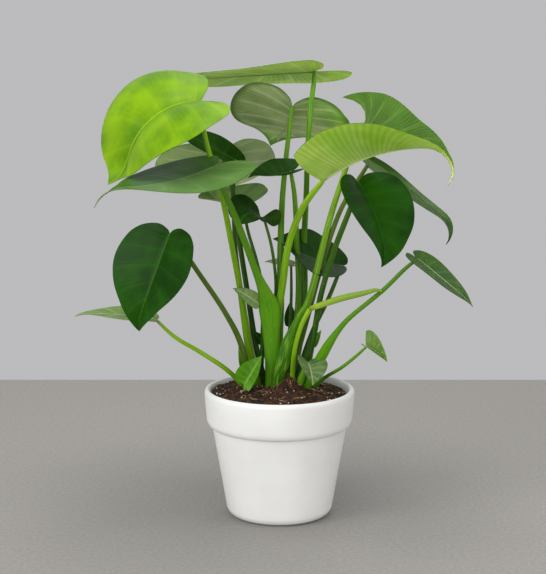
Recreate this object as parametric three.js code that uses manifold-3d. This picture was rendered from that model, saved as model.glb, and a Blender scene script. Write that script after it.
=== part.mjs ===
import * as THREE from 'three';
import { mergeVertices } from 'three/addons/utils/BufferGeometryUtils.js';
import Module from 'manifold-3d';

// A young potted monstera. Millimetres, +Z up. The pot stands on z = 0 round the Z axis, and its shown side
// is -Y.

const gap = 0.35;
// Cut edges with steps finer than this are smoothed.
const finestDetail = 0.03;

// Radius and height down the outside of the pot, from the middle of its foot to the top of the lip, and back
// down the inside to the middle of its floor.
const potOutside = [
  [0, 0], [44, 0], [48, 0.8], [51, 3], [53, 6.5], [54, 12], [67, 89], [68, 91.5], [71, 93],
  [72.8, 96.5], [74.6, 115], [75, 125], [74.2, 127.8], [72, 129],
];
const potInside = [[69.9, 128], [69, 125], [67.4, 98], [62, 88], [48, 12], [43, 8], [0, 8]];
const potSegments = 40;

const soilEdgeHeight = 123.5;
const soilTilt = 0.028;
const soilMound = 4.5;
const soilMoundReach = 50;
const soilCrown = { x: 8, y: -10, height: 16, reach: 14 };
const soilGrain = 0.8;
const soilSegments = 24;
const soilRings = 7;
const soilBodyHeights = [100, 98, 88, 12];

const largeBlade = { from: 85, rows: 13, columns: 3 };
const middleBlade = { rows: 11, columns: 2 };
const smallBlade = { rows: 8, columns: 2 };
const bladeThickness = 1;
const marginThickness = 0.75;
const stemSides = 6;
const sheathSides = 8;
const sheathFrom = 4.6;
const stemDepthLimit = 3.4;
const stemDepthGrowth = 0.12;
const stemDome = 0.5;
const stemStep = 0.02;

// Half of a heart-shaped leaf one unit long: x along the midrib from the stalk joint, y out to the margin.
const leafOutline = [
  [0, 0], [-0.085, 0.03], [-0.165, 0.13], [-0.12, 0.28], [0.06, 0.385],
  [0.29, 0.41], [0.54, 0.335], [0.76, 0.19], [0.91, 0.062], [1, 0],
];
const outlineWidth = 0.82;
const outlineLobe = 0.165;
const fanShare = 0.26;
const fanPower = 1.25;
const tipStart = 0.7;
const cutReach = 0.45;
const taperFrom = 0.45;
const taperReach = 0.4;
const curlReach = 0.41;
const rippleTurns = 5;
const midribSteps = 24;

const colours = {
  pot: [0xe8e8e5, 0.35],
  soil: [0x3c2414, 0.95],
  lime: [0x93bd28, 0.4],
  limeStem: [0x8fb52c, 0.45],
  dark: [0x1f4a12, 0.35],
  darkStem: [0x35561a, 0.5],
  midStem: [0x4f7d1e, 0.5],
  pale: [0x7c9a62, 0.5],
  bright: [0x5f9a22, 0.42],
};

// What a leaf has where its own record names nothing else.
const plainLeaf = {
  lean: 0, curl: 0, sway: 0, sweep: [0, 0], cut: [0, 0], bare: [0, 0], bow: [0, 0], taper: 0, wave: 0,
};

// Angles are whole degrees. heading turns the midrib round +Z from +X, pitch lifts it, roll turns the blade
// about the midrib, fold raises both halves, lean adds to the left half's fold and takes from the right's,
// curl bends each half further up, droop bends the midrib down, tipDroop bends its last part, and sway bends
// it sideways. The pairs are for the left and the right half: sweep slants them along the midrib, cut draws
// their base lobes forward, bare leaves out that share of their outline at the joint, and bow hollows the
// base that is left. taper narrows the part near the tip, and wave ripples the margin. A stem path lists x, y,
// z and half width.
const leaves = {
  limeLeft: {
    blade: 'lime', stalk: 'limeStem', joint: [-76, -36, 415], length: 128, width: 1.3, lobe: 0.15,
    heading: 202, pitch: 3, roll: -10, fold: 27, lean: -7, curl: -31, droop: 116, tipDroop: -91, sway: -12,
    sweep: [0.05, -0.21], cut: [0.01, 0.07], taper: -0.33, wave: 0.012,
    stem: [[-20, 10, 112, 3.6], [-21, 10, 126, 3.6], [-31, 8, 171, 4], [-39, 0, 228, 3],
      [-46, -8, 269, 2.8], [-57, -22, 329, 2.6], [-70, -32, 376, 2.4], [-76, -36, 415, 2]],
  },
  flatLeft: {
    blade: 'dark', stalk: 'bright', joint: [-60, -64, 357], length: 145, width: 0.82, lobe: 0.14,
    heading: 225, pitch: -16, roll: 5, fold: -1, lean: -7, droop: -25, tipDroop: 71, sway: -7,
    sweep: [0.09, -0.25], cut: [-0.02, 0.03], taper: 0.9, wave: 0.01,
    stem: [[-7, -3, 112, 7], [-7, -3, 126, 7.5], [-7, -6, 156, 7.5], [-8, -8, 183, 8.5],
      [-10, -11, 211, 10.5], [-15, -16, 229, 6.5], [-23, -22, 250, 3.8], [-40, -40, 299, 3.2],
      [-54, -56, 335, 2.8], [-60, -64, 357, 2.2]],
  },
  behindLeft: {
    blade: 'dark', stalk: 'darkStem', joint: [-44, 20, 355], length: 80, width: 0.48, lobe: 0.12,
    heading: 185, pitch: 31, roll: -30, fold: 12, lean: 1, droop: 12, tipDroop: 19, sway: 3,
    sweep: [0.04, 0.04], wave: 0.012,
    stem: [[-23, 20, 112, 2.8], [-24, 20, 126, 2.8], [-30, 22, 168, 2.8], [-38, 24, 219, 2.4],
      [-44, 22, 265, 2.2], [-46, 22, 321, 2], [-44, 20, 355, 1.8]],
  },
  paleLeft: {
    blade: 'pale', stalk: 'darkStem', joint: [-58, 66, 357], length: 137, width: 0.92, lobe: 0.2,
    heading: 105, pitch: -32, roll: -4, fold: 5, lean: 6, curl: 2, droop: -18, tipDroop: -42, sway: -5,
    sweep: [0.12, 0.1], cut: [0.03, -0.03], wave: 0.01,
    stem: [[-14, 22, 112, 3], [-14, 22, 126, 3], [-24, 26, 167, 3], [-33, 36, 223, 2.8],
      [-41, 46, 273, 2.6],
      [-48, 58, 323, 2.4], [-58, 66, 357, 1.8]],
  },
  darkCentre: {
    blade: 'dark', stalk: 'midStem', joint: [11, 5, 345], length: 53, width: 0.69, lobe: 0.2,
    heading: 212, pitch: -13, roll: -23, fold: 30, lean: 1, curl: -6, droop: -33, tipDroop: 46, sway: 3,
    sweep: [0, -0.11], cut: [0, -0.05], wave: 0.01,
    stem: [[4, 18, 112, 3], [4, 18, 126, 3], [15, 20, 174, 3], [19, 19, 225, 2.8], [17, 16, 277, 2.6],
      [15, 10, 318, 2.4], [11, 5, 345, 1.8]],
  },
  limeRight: {
    blade: 'lime', stalk: 'limeStem', joint: [41, -35, 340], length: 158, width: 0.92, lobe: 0.03,
    heading: 335, pitch: 35, roll: 26, fold: 44, lean: -7, droop: 30, tipDroop: 143, sway: -47,
    sweep: [0.24, 0.16], cut: [0, 0.01], bare: [0.51, 0], bow: [0.23, 0], taper: 0.8, wave: 0.01,
    stem: [[-5, 7, 112, 3.6], [-5, 7, 126, 3.6], [-3, 4, 188, 3.8], [3, -11, 236, 3.6], [9, -20, 277, 3.4],
      [22, -29, 313, 3.2], [41, -35, 340, 2.4]],
  },
  paleBack: {
    blade: 'pale', stalk: 'midStem', joint: [13, 62, 405], length: 126, width: 0.99, lobe: 0.21,
    heading: 95, pitch: -33, roll: 17, fold: 9, lean: -6, curl: -10, droop: -28, tipDroop: 45, sway: 17,
    sweep: [-0.19, 0.09], cut: [-0.02, 0.03], wave: 0.012,
    stem: [[-2, 14, 112, 3.4], [-2, 14, 126, 3.4], [1, 12, 206, 3.6], [1, 12, 258, 3.4], [2, 22, 301, 3],
      [5, 42, 339, 2.6], [9, 56, 374, 2.4], [13, 62, 405, 1.9]],
  },
  topLeaf: {
    blade: 'pale', stalk: 'midStem', joint: [36, 87, 440], length: 171, width: 0.8, lobe: 0.2,
    heading: 182, pitch: -3, roll: 11, fold: -1, droop: 2, tipDroop: -9, sway: 2,
    sweep: [-0.08, -0.1], cut: [0.18, -0.02], bare: [0.22, 0], wave: 0.012,
    stem: [[10, 27, 112, 3.6], [10, 27, 126, 3.6], [20, 32, 166, 3.8], [25, 42, 221, 3.8],
      [25, 47, 266, 3.2], [27, 41, 318, 2.8], [28, 30, 365, 2.6], [31, 33, 406, 2.6], [34, 45, 428, 2.4],
      [36, 87, 440, 2]],
  },
  darkHeart: {
    blade: 'dark', stalk: 'darkStem', joint: [74, -70, 340], length: 86, width: 1.06, lobe: 0.11,
    heading: 308, pitch: -44, roll: -13, fold: 32, lean: 9, curl: -24, droop: 30, tipDroop: 43, sway: 3,
    sweep: [0.08, 0.2], wave: 0.01,
    stem: [[18, 5, 112, 3], [19, 5, 126, 3], [32, -10, 174, 3], [40, -24, 226, 2.8], [52, -38, 272, 2.8],
      [64, -52, 308, 2.6], [74, -70, 340, 2]],
  },
  darkDroop: {
    blade: 'dark', stalk: 'midStem', joint: [87, 18, 350], length: 121, width: 0.56, lobe: 0.16,
    heading: 332, pitch: -36, roll: -15, fold: 17, lean: 2, droop: -12, tipDroop: 98, sway: -1,
    sweep: [0.03, 0], cut: [0.01, 0], wave: 0.01,
    stem: [[8, 11, 112, 3], [8, 11, 126, 3], [19, 12, 165, 3], [31, 8, 211, 2.8], [44, 4, 261, 2.6],
      [59, 7, 304, 2.4], [73, 13, 328, 2.4], [87, 18, 350, 1.9]],
  },
  backRight: {
    blade: 'lime', stalk: 'limeStem', joint: [74, 47, 367], length: 115, width: 0.85, lobe: 0.15,
    heading: 42, pitch: 9, roll: 0, fold: 12, curl: -10, droop: 20, tipDroop: 20, sway: 4,
    wave: 0.014,
    stem: [[-3, -13, 112, 6], [-3, -13, 126, 6.5], [-1, -15, 145, 7], [3, -16, 158, 7], [8, -16, 176, 6.5],
      [14, -16, 192, 4.5], [21, -16, 207, 3.5], [29, -13, 221, 3.4], [42, -4, 270, 3.2], [51, 10, 302, 3],
      [63, 28, 336, 2.8], [74, 47, 367, 2.2]],
  },
  darkBehind: {
    blade: 'dark', stalk: 'darkStem', joint: [63, 35, 247], length: 79, width: 1.11, lobe: 0.07,
    heading: 183, pitch: 6, roll: -28, fold: 10, lean: 6, droop: -50, tipDroop: 44, sway: 3,
    sweep: [0.36, 0.39], cut: [-0.04, -0.07], wave: 0.01,
    stem: [[14, 20, 112, 2.6], [15, 20, 126, 2.6], [32, 30, 176, 2.4], [50, 34, 214, 2.2],
      [63, 35, 247, 1.8]],
  },
  curledSmall: {
    blade: 'dark', stalk: 'darkStem', joint: [-15, 10, 297], length: 52, width: 1.22, lobe: 0.12,
    heading: 215, pitch: 38, roll: 29, fold: -21, lean: -36, curl: 64, droop: 91, tipDroop: -15, sway: 11,
    sweep: [0.05, -0.05], cut: [-0.01, 0.01], wave: 0.01,
    stem: [[-12, 15, 112, 2.2], [-12, 15, 126, 2.2], [-7, 14, 180, 2], [-4, 12, 215, 1.8],
      [-4, 11, 240, 1.6],
      [-8, 10, 270, 1.5], [-15, 10, 297, 1.3]],
  },
  paleSmall: {
    blade: 'pale', stalk: 'darkStem', joint: [-36, 42, 307], length: 81, width: 0.93, lobe: 0.21,
    heading: 125, pitch: -7, roll: -6, fold: 27, lean: -3, curl: -8, droop: -26, tipDroop: -5, sway: -10,
    sweep: [-0.04, -0.03], wave: 0.01,
    stem: [[-19, 14, 112, 2.4], [-19, 14, 126, 2.4], [-17, 13, 180, 2.2], [-17, 11, 225, 2],
      [-23, 20, 254, 1.8], [-32, 31, 284, 1.6], [-36, 42, 307, 1.4]],
  },
  rightLeaf: {
    blade: 'dark', stalk: 'bright', joint: [132, -45, 266], length: 71, width: 0.58, lobe: 0.14,
    heading: 329, pitch: -33, roll: 3, fold: 6, curl: 6, droop: 3, tipDroop: 12, sway: 3,
    sweep: [0.01, 0.01], wave: 0.01,
    stem: [[26, -3, 112, 4], [26, -3, 126, 4.2], [31, -8, 142, 4.6], [37, -12, 155, 5], [43, -17, 167, 5],
      [49, -22, 179, 4.3], [57, -27, 192, 3], [69, -32, 207, 2.4], [99, -40, 234, 2.2], [119, -44, 255, 2],
      [132, -45, 266, 1.5]],
  },
  heartLeft: {
    blade: 'dark', stalk: 'midStem', joint: [-105, -50, 290], length: 100, width: 0.92, lobe: 0.1,
    heading: 226, pitch: -62, roll: -11, fold: 21, curl: -14, droop: 20, tipDroop: 44, sway: -15,
    sweep: [0.21, 0.16], wave: 0.01,
    stem: [[-27, 0, 112, 3.2], [-28, 0, 126, 3.2], [-38, -8, 174, 3], [-54, -16, 209, 2.6],
      [-79, -28, 250, 2.4],
      [-96, -40, 278, 2.2], [-105, -50, 290, 1.7]],
  },
  limeLow: {
    blade: 'lime', stalk: 'limeStem', joint: [-122, -15, 201], length: 80, width: 0.7, lobe: 0.05,
    heading: 189, pitch: 11, roll: -1, fold: 6, lean: -2, droop: 10, tipDroop: 17, sway: -1,
    wave: 0.012,
    stem: [[-35, 8, 112, 2.6], [-36, 8, 126, 2.6], [-52, 2, 146, 2.4], [-79, -4, 166, 2.2],
      [-103, -10, 182, 2],
      [-122, -15, 201, 1.5]],
  },
  triangle: {
    blade: 'pale', stalk: 'limeStem', joint: [84, -45, 180], length: 39, width: 0.93, lobe: 0.06,
    heading: 296, pitch: -1, roll: 28, fold: 53, lean: 3, curl: 15, droop: 15, tipDroop: 28, sway: -6,
    sweep: [0, 0.8], wave: 0,
    stem: [[32, 3, 112, 2], [34, 2, 126, 2], [44, -12, 141, 1.8], [60, -28, 155, 1.7], [73, -38, 168, 1.6],
      [84, -45, 180, 1.2]],
  },
  paleBehind: {
    blade: 'pale', stalk: 'darkStem', joint: [12, 46, 247], length: 27, width: 0.81, lobe: 0.17,
    heading: 182, pitch: 9, roll: -7, fold: 5, lean: -3, droop: 6, tipDroop: 9,
    stem: [[-2, 30, 112, 2], [-2, 30, 126, 2], [9, 36, 170, 1.8], [12, 43, 209, 1.6], [12, 46, 247, 1.2]],
  },
};

// Little leaves at the foot: blade and stalk are one grown piece each.
const sprouts = {
  frontSprout: {
    blade: 'bright', joint: [-34, -10, 135], length: 36, width: 0.8, lobe: 0.06,
    heading: 335, pitch: 58, roll: 78, fold: 18, curl: 28, droop: -6, tipDroop: 10,
    stem: [[-34, -10, 112, 2.2], [-34, -10, 124, 2.4], [-34, -10, 135, 1.8]],
  },
  sideSheath: {
    blade: 'midStem', joint: [-31, 9, 140], length: 36, width: 0.5, lobe: 0.03,
    heading: 202, pitch: 73, roll: -80, fold: 15, curl: 10, droop: 0, tipDroop: 10,
    stem: [[-31, 9, 112, 2], [-31, 9, 124, 2], [-31, 9, 140, 1.6]],
  },
  budLeaf: {
    blade: 'dark', joint: [-18, 16, 172], length: 15, width: 0.7, lobe: 0.1,
    heading: 195, pitch: 53, roll: -60, fold: 10, droop: 0, tipDroop: 10,
    stem: [[-9, 24, 112, 1.4], [-9, 24, 126, 1.4], [-13, 20, 150, 1.2], [-18, 16, 172, 1]],
  },
  foldedSprout: {
    blade: 'bright', joint: [28, -18, 158], length: 28, width: 1.3, lobe: 0.12,
    heading: 285, pitch: -28, roll: -12, fold: 30, droop: 25, tipDroop: 15,
    stem: [[18, -9, 112, 3.6], [18, -9, 126, 3.8], [22, -12, 142, 3.4], [28, -18, 158, 1.8]],
  },
  stubLeaf: {
    blade: 'midStem', joint: [34, -1, 172], length: 18, width: 0.45, lobe: 0.05,
    heading: 345, pitch: 65, roll: 70, fold: 15, droop: 0, tipDroop: 10,
    stem: [[25, 8, 112, 2], [25, 8, 126, 2], [30, 4, 150, 1.7], [34, -1, 172, 1.2]],
  },
  backSprout: {
    blade: 'dark', joint: [11, 46, 184], length: 24, width: 0.5, lobe: 0.08,
    heading: 90, pitch: 85, roll: 0, fold: 5, droop: 0, tipDroop: 0,
    stem: [[5, 40, 112, 1.6], [5, 40, 126, 1.6], [9, 43, 155, 1.4], [11, 46, 184, 1.1]],
  },
};

// The big sheath of the flat leaf's stalk ends in a little leaf, grown in one piece with it.
const sheathTip = {
  joint: [-22, -14, 217], length: 29, width: 0.6, lobe: 0.1,
  heading: 196, pitch: 39, roll: -60, fold: 15, droop: 20, tipDroop: 10,
};

// The newest leaf is still a tight roll, which points right off its stalk.
const rolledLeaf = {
  stem: [[12, -9, 112, 2.6], [12, -9, 126, 2.6], [14, -17, 165, 2.4], [20, -22, 193, 2.3],
      [29, -25, 213, 2.4]],
  roll: [[30, -26, 214, 2.6], [42, -30, 219, 3], [60, -36, 226, 3.2], [80, -43, 232, 2.6],
      [92, -47, 236, 1.8],
    [98, -49, 235, 1]],
};

const wasm = await Module();
wasm.setup();

const radians = (degrees) => degrees * Math.PI / 180;
const clamp = (value, low, high) => Math.min(Math.max(value, low), high);

function catmullRom(points, share) {
  const last = points.length - 1;
  const place = clamp(share, 0, 1) * last;
  const index = Math.min(Math.floor(place), last - 1);
  const f = place - index;
  const pick = (i) => {
    if (i < 0) return points[0].map((v, k) => 2 * v - points[1][k]);
    if (i > last) return points[last].map((v, k) => 2 * v - points[last - 1][k]);
    return points[i];
  };
  const [a, b, c, d] = [pick(index - 1), pick(index), pick(index + 1), pick(index + 2)];
  return b.map((v, k) => {
    const linear = (c[k] - a[k]) * f;
    const square = (2 * a[k] - 5 * v + 4 * c[k] - d[k]) * f * f;
    const cube = (3 * v - a[k] - 3 * c[k] + d[k]) * f * f * f;
    return 0.5 * (2 * v + linear + square + cube);
  });
}

function outlinePoint(leaf, side, p) {
  const [x, y] = catmullRom(leafOutline, p);
  const along = x < 0 ? x * leaf.lobe / outlineLobe : x;
  const narrow = clamp((along - taperFrom) / taperReach, 0, 1);
  const across = y * leaf.width / outlineWidth * (1 - leaf.taper * narrow * narrow);
  const half = side > 0 ? 0 : 1;
  const slant = leaf.sweep[half] * across * (1 - clamp(along, 0, 1));
  const trim = leaf.cut[half] * Math.sin(Math.PI * Math.min(p / cutReach, 1));
  return [along + slant + trim, across];
}

// The midrib seen from the side and from above, as points with their slope.
function midribPoint(leaf, x) {
  const reach = clamp(x, 0, 1);
  const slopeAt = (s) => radians(leaf.droop) * s
    + radians(leaf.tipDroop) * Math.pow(Math.max(s - tipStart, 0) / (1 - tipStart), 1.5);
  const point = [0, 0, 0];
  for (let i = 0; i < midribSteps; i += 1) {
    const s = reach * (i + 0.5) / midribSteps;
    const slope = slopeAt(s);
    point[0] += Math.cos(slope) * reach / midribSteps;
    point[1] += Math.sin(radians(leaf.sway) * s) * reach / midribSteps;
    point[2] -= Math.sin(slope) * reach / midribSteps;
  }
  point[0] += Math.min(x, 0);
  return { point, slope: x < 0 ? 0 : slopeAt(reach) };
}

// A flat place on one half of the leaf, folded, curled and drooped. Still one unit long.
function bentPoint(leaf, side, x, y, lift) {
  const fold = radians(leaf.fold + side * leaf.lean);
  const bend = radians(leaf.curl) / curlReach;
  const turn = Math.abs(bend) < 0.001 ? 0.001 : bend;
  const across = (Math.sin(fold + turn * y) - Math.sin(fold)) / turn;
  const up = (Math.cos(fold) - Math.cos(fold + turn * y)) / turn + lift;
  const { point, slope } = midribPoint(leaf, x);
  return [point[0] + up * Math.sin(slope), point[1] + side * across, point[2] + up * Math.cos(slope)];
}

function leafAxes(leaf) {
  const [h, p, r] = [radians(leaf.heading), radians(leaf.pitch), radians(leaf.roll)];
  const along = new THREE.Vector3(Math.cos(h) * Math.cos(p), Math.sin(h) * Math.cos(p), Math.sin(p));
  const level = new THREE.Vector3(-Math.sin(h), Math.cos(h), 0);
  const upright = new THREE.Vector3().crossVectors(along, level);
  const left = level.clone().multiplyScalar(Math.cos(r)).addScaledVector(upright, Math.sin(r));
  const top = upright.clone().multiplyScalar(Math.cos(r)).addScaledVector(level, -Math.sin(r));
  return [along, left, top];
}

function placedPoint(leaf, axes, local) {
  const point = new THREE.Vector3(...leaf.joint);
  local.forEach((value, i) => point.addScaledVector(axes[i], value * leaf.length));
  return point;
}

// Rows run from the joint round the lobe to the tip, columns from the midrib to the margin.
function bladeSheet(record, rows, columns) {
  const leaf = { ...plainLeaf, ...record };
  const axes = leafAxes(leaf);
  const points = [];
  const shares = [];
  const triangles = [];
  const known = new Map();
  const addPoint = (side, row, column) => {
    const half = side > 0 ? 0 : 1;
    const share = row / rows;
    const p = leaf.bare[half] + (1 - leaf.bare[half]) * share;
    const k = column / columns;
    const rib = Math.pow(clamp((share - fanShare) / (1 - fanShare), 0, 1), fanPower);
    const [edgeX, edgeY] = outlinePoint(leaf, side, p);
    const hollow = leaf.bow[half] * 4 * k * (1 - k) * Math.pow(1 - share, 2);
    const ripple = leaf.wave * Math.sin(rippleTurns * Math.PI * p + side) * k * k * Math.sin(Math.PI * p);
    const local = bentPoint(leaf, side, rib + (edgeX - rib) * k + hollow, edgeY * k, ripple);
    const place = placedPoint(leaf, axes, local);
    const key = place.toArray().map((v) => v.toFixed(3)).join();
    if (!known.has(key)) {
      known.set(key, points.length);
      points.push(place);
      shares.push(k);
    }
    return known.get(key);
  };
  const addTriangle = (a, b, c) => {
    if (a !== b && b !== c && c !== a) triangles.push([a, b, c]);
  };
  for (const side of [1, -1]) {
    for (let row = 0; row < rows; row += 1) {
      for (let column = 0; column < columns; column += 1) {
        const a = addPoint(side, row, column);
        const b = addPoint(side, row + 1, column);
        const c = addPoint(side, row + 1, column + 1);
        const d = addPoint(side, row, column + 1);
        if (side > 0) {
          addTriangle(a, b, c);
          addTriangle(a, c, d);
        } else {
          addTriangle(a, c, b);
          addTriangle(a, d, c);
        }
      }
    }
  }
  return { points, shares, triangles };
}

function sheetNormals({ points, triangles }) {
  const normals = points.map(() => new THREE.Vector3());
  for (const [a, b, c] of triangles) {
    const ab = points[b].clone().sub(points[a]);
    const ac = points[c].clone().sub(points[a]);
    const face = ab.cross(ac);
    [a, b, c].forEach((i) => normals[i].add(face));
  }
  return normals.map((n) => n.normalize());
}

function openEdges(triangles) {
  const seen = new Set(triangles.flatMap(([a, b, c]) => [`${a},${b}`, `${b},${c}`, `${c},${a}`]));
  return [...seen].map((key) => key.split(',').map(Number)).filter(([a, b]) => !seen.has(`${b},${a}`));
}

// The same sheet on both faces, closed by a thin strip round the margin.
function bladeGeometry(leaf, detail, swell = 0) {
  const sheet = bladeSheet(leaf, detail.rows, detail.columns);
  const normals = sheetNormals(sheet);
  const count = sheet.points.length;
  const positions = [];
  for (const face of [0.5, -0.5]) {
    sheet.points.forEach((point, i) => {
      const thickness = bladeThickness + (marginThickness - bladeThickness) * sheet.shares[i] + 2 * swell;
      positions.push(...point.clone().addScaledVector(normals[i], face * thickness).toArray());
    });
  }
  const index = [];
  for (const [a, b, c] of sheet.triangles) {
    index.push(a, b, c);
    index.push(a + count, c + count, b + count);
  }
  for (const [a, b] of openEdges(sheet.triangles)) {
    index.push(b, a, a + count);
    index.push(b, a + count, b + count);
  }
  return indexedGeometry(positions, index);
}

function indexedGeometry(positions, index) {
  const geometry = new THREE.BufferGeometry();
  geometry.setAttribute('position', new THREE.Float32BufferAttribute(positions, 3));
  geometry.setIndex(index);
  return geometry;
}

// A tapered stalk of oval rings, wide across the view, with a shallow dome at each end.
function stemGeometry(path, swell) {
  const sides = path.some((point) => point[3] > sheathFrom) ? sheathSides : stemSides;
  const parts = path.length - 1;
  const places = [0, ...Array.from({ length: 2 * parts - 1 }, (_, i) => (i + 2) / (2 * parts))];
  const rings = places.length - 1;
  const positions = [];
  const index = [];
  const before = new THREE.Vector3();
  const after = new THREE.Vector3();
  const ahead = new THREE.Vector3(0, -1, 0);
  const centre = (share) => catmullRom(path, share);
  for (let ring = 0; ring <= rings; ring += 1) {
    const share = places[ring];
    const [x, y, z, half] = centre(share);
    before.fromArray(centre(Math.max(share - stemStep, 0)));
    after.fromArray(centre(Math.min(share + stemStep, 1)));
    const along = after.clone().sub(before).normalize();
    const wide = new THREE.Vector3().crossVectors(along, ahead).normalize();
    const deep = new THREE.Vector3().crossVectors(wide, along).normalize();
    const depth = Math.min(half, stemDepthLimit + stemDepthGrowth * half);
    for (let side = 0; side < sides; side += 1) {
      const angle = 2 * Math.PI * side / sides;
      const point = new THREE.Vector3(x, y, z);
      point.addScaledVector(wide, Math.cos(angle) * (half + swell));
      point.addScaledVector(deep, Math.sin(angle) * (depth + swell));
      positions.push(...point.toArray());
    }
  }
  for (const [share, outward] of [[0, -1], [1, 1]]) {
    const [x, y, z, half] = centre(share);
    before.fromArray(centre(Math.max(share - stemStep, 0)));
    after.fromArray(centre(Math.min(share + stemStep, 1)));
    const dome = outward * (stemDome * half + swell);
    const along = after.clone().sub(before).normalize();
    positions.push(...new THREE.Vector3(x, y, z).addScaledVector(along, dome).toArray());
  }
  const foot = (rings + 1) * sides;
  for (let side = 0; side < sides; side += 1) {
    const next = (side + 1) % sides;
    for (let ring = 0; ring < rings; ring += 1) {
      const [a, b] = [ring * sides + side, ring * sides + next];
      index.push(a, a + sides, b);
      index.push(b, a + sides, b + sides);
    }
    index.push(foot, side, next);
    index.push(foot + 1, rings * sides + next, rings * sides + side);
  }
  return indexedGeometry(positions, index);
}

function potGeometry() {
  const points = [...potOutside, ...potInside].map(([r, z]) => new THREE.Vector2(r, z));
  const lathe = new THREE.LatheGeometry(points, potSegments);
  lathe.rotateX(Math.PI / 2);
  return lathe;
}

// The inner wall's radius at a height, less the gap to the soil.
function soilRadius(z) {
  const wall = potInside.slice(0, -1).reverse();
  const index = Math.max(wall.findIndex(([, height]) => z <= height), 1);
  const [lowR, lowZ] = wall[index - 1];
  const [highR, highZ] = wall[index];
  return lowR + (highR - lowR) * (z - lowZ) / (highZ - lowZ) - 2 * gap;
}

// Heaped a little in the middle, with a crown between the stems, and higher on the left.
function soilHeight(x, y) {
  const mound = soilMound * Math.exp(-Math.pow(Math.hypot(x, y) / soilMoundReach, 4));
  const fromCrown = Math.hypot(x - soilCrown.x, y - soilCrown.y) / soilCrown.reach;
  const crown = soilCrown.height * Math.exp(-fromCrown * fromCrown);
  const grain = Math.sin(0.31 * x + 1.3) * Math.cos(0.27 * y) + 0.6 * Math.sin(0.53 * x - 0.61 * y);
  return soilEdgeHeight - soilTilt * x + mound + crown + soilGrain * grain;
}

// The soil fills the pot: a bumpy top and a body that follows the inner wall.
function soilGeometry() {
  const positions = [];
  const index = [];
  const rows = [];
  const ring = (radius, height) => {
    rows.push(positions.length / 3);
    for (let i = 0; i < soilSegments; i += 1) {
      const angle = 2 * Math.PI * i / soilSegments;
      const [x, y] = [radius * Math.cos(angle), radius * Math.sin(angle)];
      positions.push(x, y, height === null ? soilHeight(x, y) : height);
    }
  };
  positions.push(0, 0, soilHeight(0, 0));
  const edge = soilRadius(soilEdgeHeight - 4);
  for (let i = 1; i <= soilRings; i += 1) ring(edge * i / soilRings, null);
  const facet = Math.cos(Math.PI / potSegments);
  const floor = potInside.at(-1)[1] + gap;
  for (const z of [...soilBodyHeights, floor]) ring(soilRadius(z) * facet, z);
  const bottom = positions.length / 3;
  positions.push(0, 0, floor);
  for (let i = 0; i < soilSegments; i += 1) {
    const next = (i + 1) % soilSegments;
    index.push(0, rows[0] + i, rows[0] + next);
    for (let r = 1; r < rows.length; r += 1) {
      const [a, b] = [rows[r - 1], rows[r]];
      index.push(a + i, b + i, b + next);
      index.push(a + i, b + next, a + next);
    }
    index.push(bottom, rows.at(-1) + next, rows.at(-1) + i);
  }
  return indexedGeometry(positions, index);
}

function toSolid(geometry) {
  const bare = new THREE.BufferGeometry();
  bare.setAttribute('position', geometry.getAttribute('position'));
  bare.setIndex(geometry.getIndex());
  const merged = mergeVertices(bare, 0.0001);
  const vertProperties = Float32Array.from(merged.getAttribute('position').array);
  const kept = [];
  const order = merged.getIndex().array;
  for (let i = 0; i < order.length; i += 3) {
    const [a, b, c] = [order[i], order[i + 1], order[i + 2]];
    if (a !== b && b !== c && c !== a) kept.push(a, b, c);
  }
  return new wasm.Manifold(new wasm.Mesh({ numProp: 3, vertProperties, triVerts: Uint32Array.from(kept) }));
}

function toGeometry(solid) {
  const mesh = solid.getMesh();
  const geometry = new THREE.BufferGeometry();
  geometry.setAttribute('position', new THREE.Float32BufferAttribute(mesh.vertProperties, 3));
  geometry.setIndex(Array.from(mesh.triVerts));
  return geometry;
}

function boxesMeet(first, second) {
  const a = first.boundingBox();
  const b = second.boundingBox();
  return [0, 1, 2].every((i) => a.min[i] < b.max[i] && b.min[i] < a.max[i]);
}

function clearOf(solid, others) {
  const near = others.filter((other) => boxesMeet(solid, other));
  return near.reduce((rest, other) => rest.subtract(other), solid);
}

const plant = new THREE.Group();
plant.name = 'potted_monstera';

function addNode(name, solid, colour) {
  const geometry = toGeometry(solid.simplify(finestDetail)).toNonIndexed();
  geometry.computeVertexNormals();
  const [shade, roughness] = colours[colour];
  const material = new THREE.MeshStandardMaterial({ color: shade, roughness, metalness: 0 });
  material.name = colour;
  const mesh = new THREE.Mesh(geometry, material);
  mesh.name = name;
  plant.add(mesh);
}

const nodeName = (key) => key.replace(/[A-Z]/g, (letter) => `_${letter.toLowerCase()}`);

const stalks = Object.entries(leaves).map(([key, leaf]) => [`${nodeName(key)}_stem`, leaf.stem, leaf.stalk]);
stalks.push(['rolled_leaf_stem', rolledLeaf.stem, 'limeStem']);

const sleeves = [];
const stems = stalks.map(([, path]) => {
  const solid = clearOf(toSolid(stemGeometry(path, 0)), sleeves);
  sleeves.push(toSolid(stemGeometry(path, gap)));
  return solid;
});
stalks.forEach(([name, , colour], i) => {
  if (name !== 'flat_left_stem') {
    addNode(name, stems[i], colour);
    return;
  }
  const others = sleeves.filter((_, k) => k !== i);
  const tip = clearOf(toSolid(bladeGeometry(sheathTip, smallBlade)), others);
  addNode(name, stems[i].add(tip), colour);
});

const soilSleeves = [...sleeves];
for (const [key, leaf] of Object.entries(sprouts)) {
  const stalk = toSolid(stemGeometry(leaf.stem, 0));
  const blade = toSolid(bladeGeometry(leaf, smallBlade));
  addNode(nodeName(key), clearOf(stalk.add(blade), sleeves), leaf.blade);
  soilSleeves.push(toSolid(stemGeometry(leaf.stem, gap)), toSolid(bladeGeometry(leaf, smallBlade, 2 * gap)));
}

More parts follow.
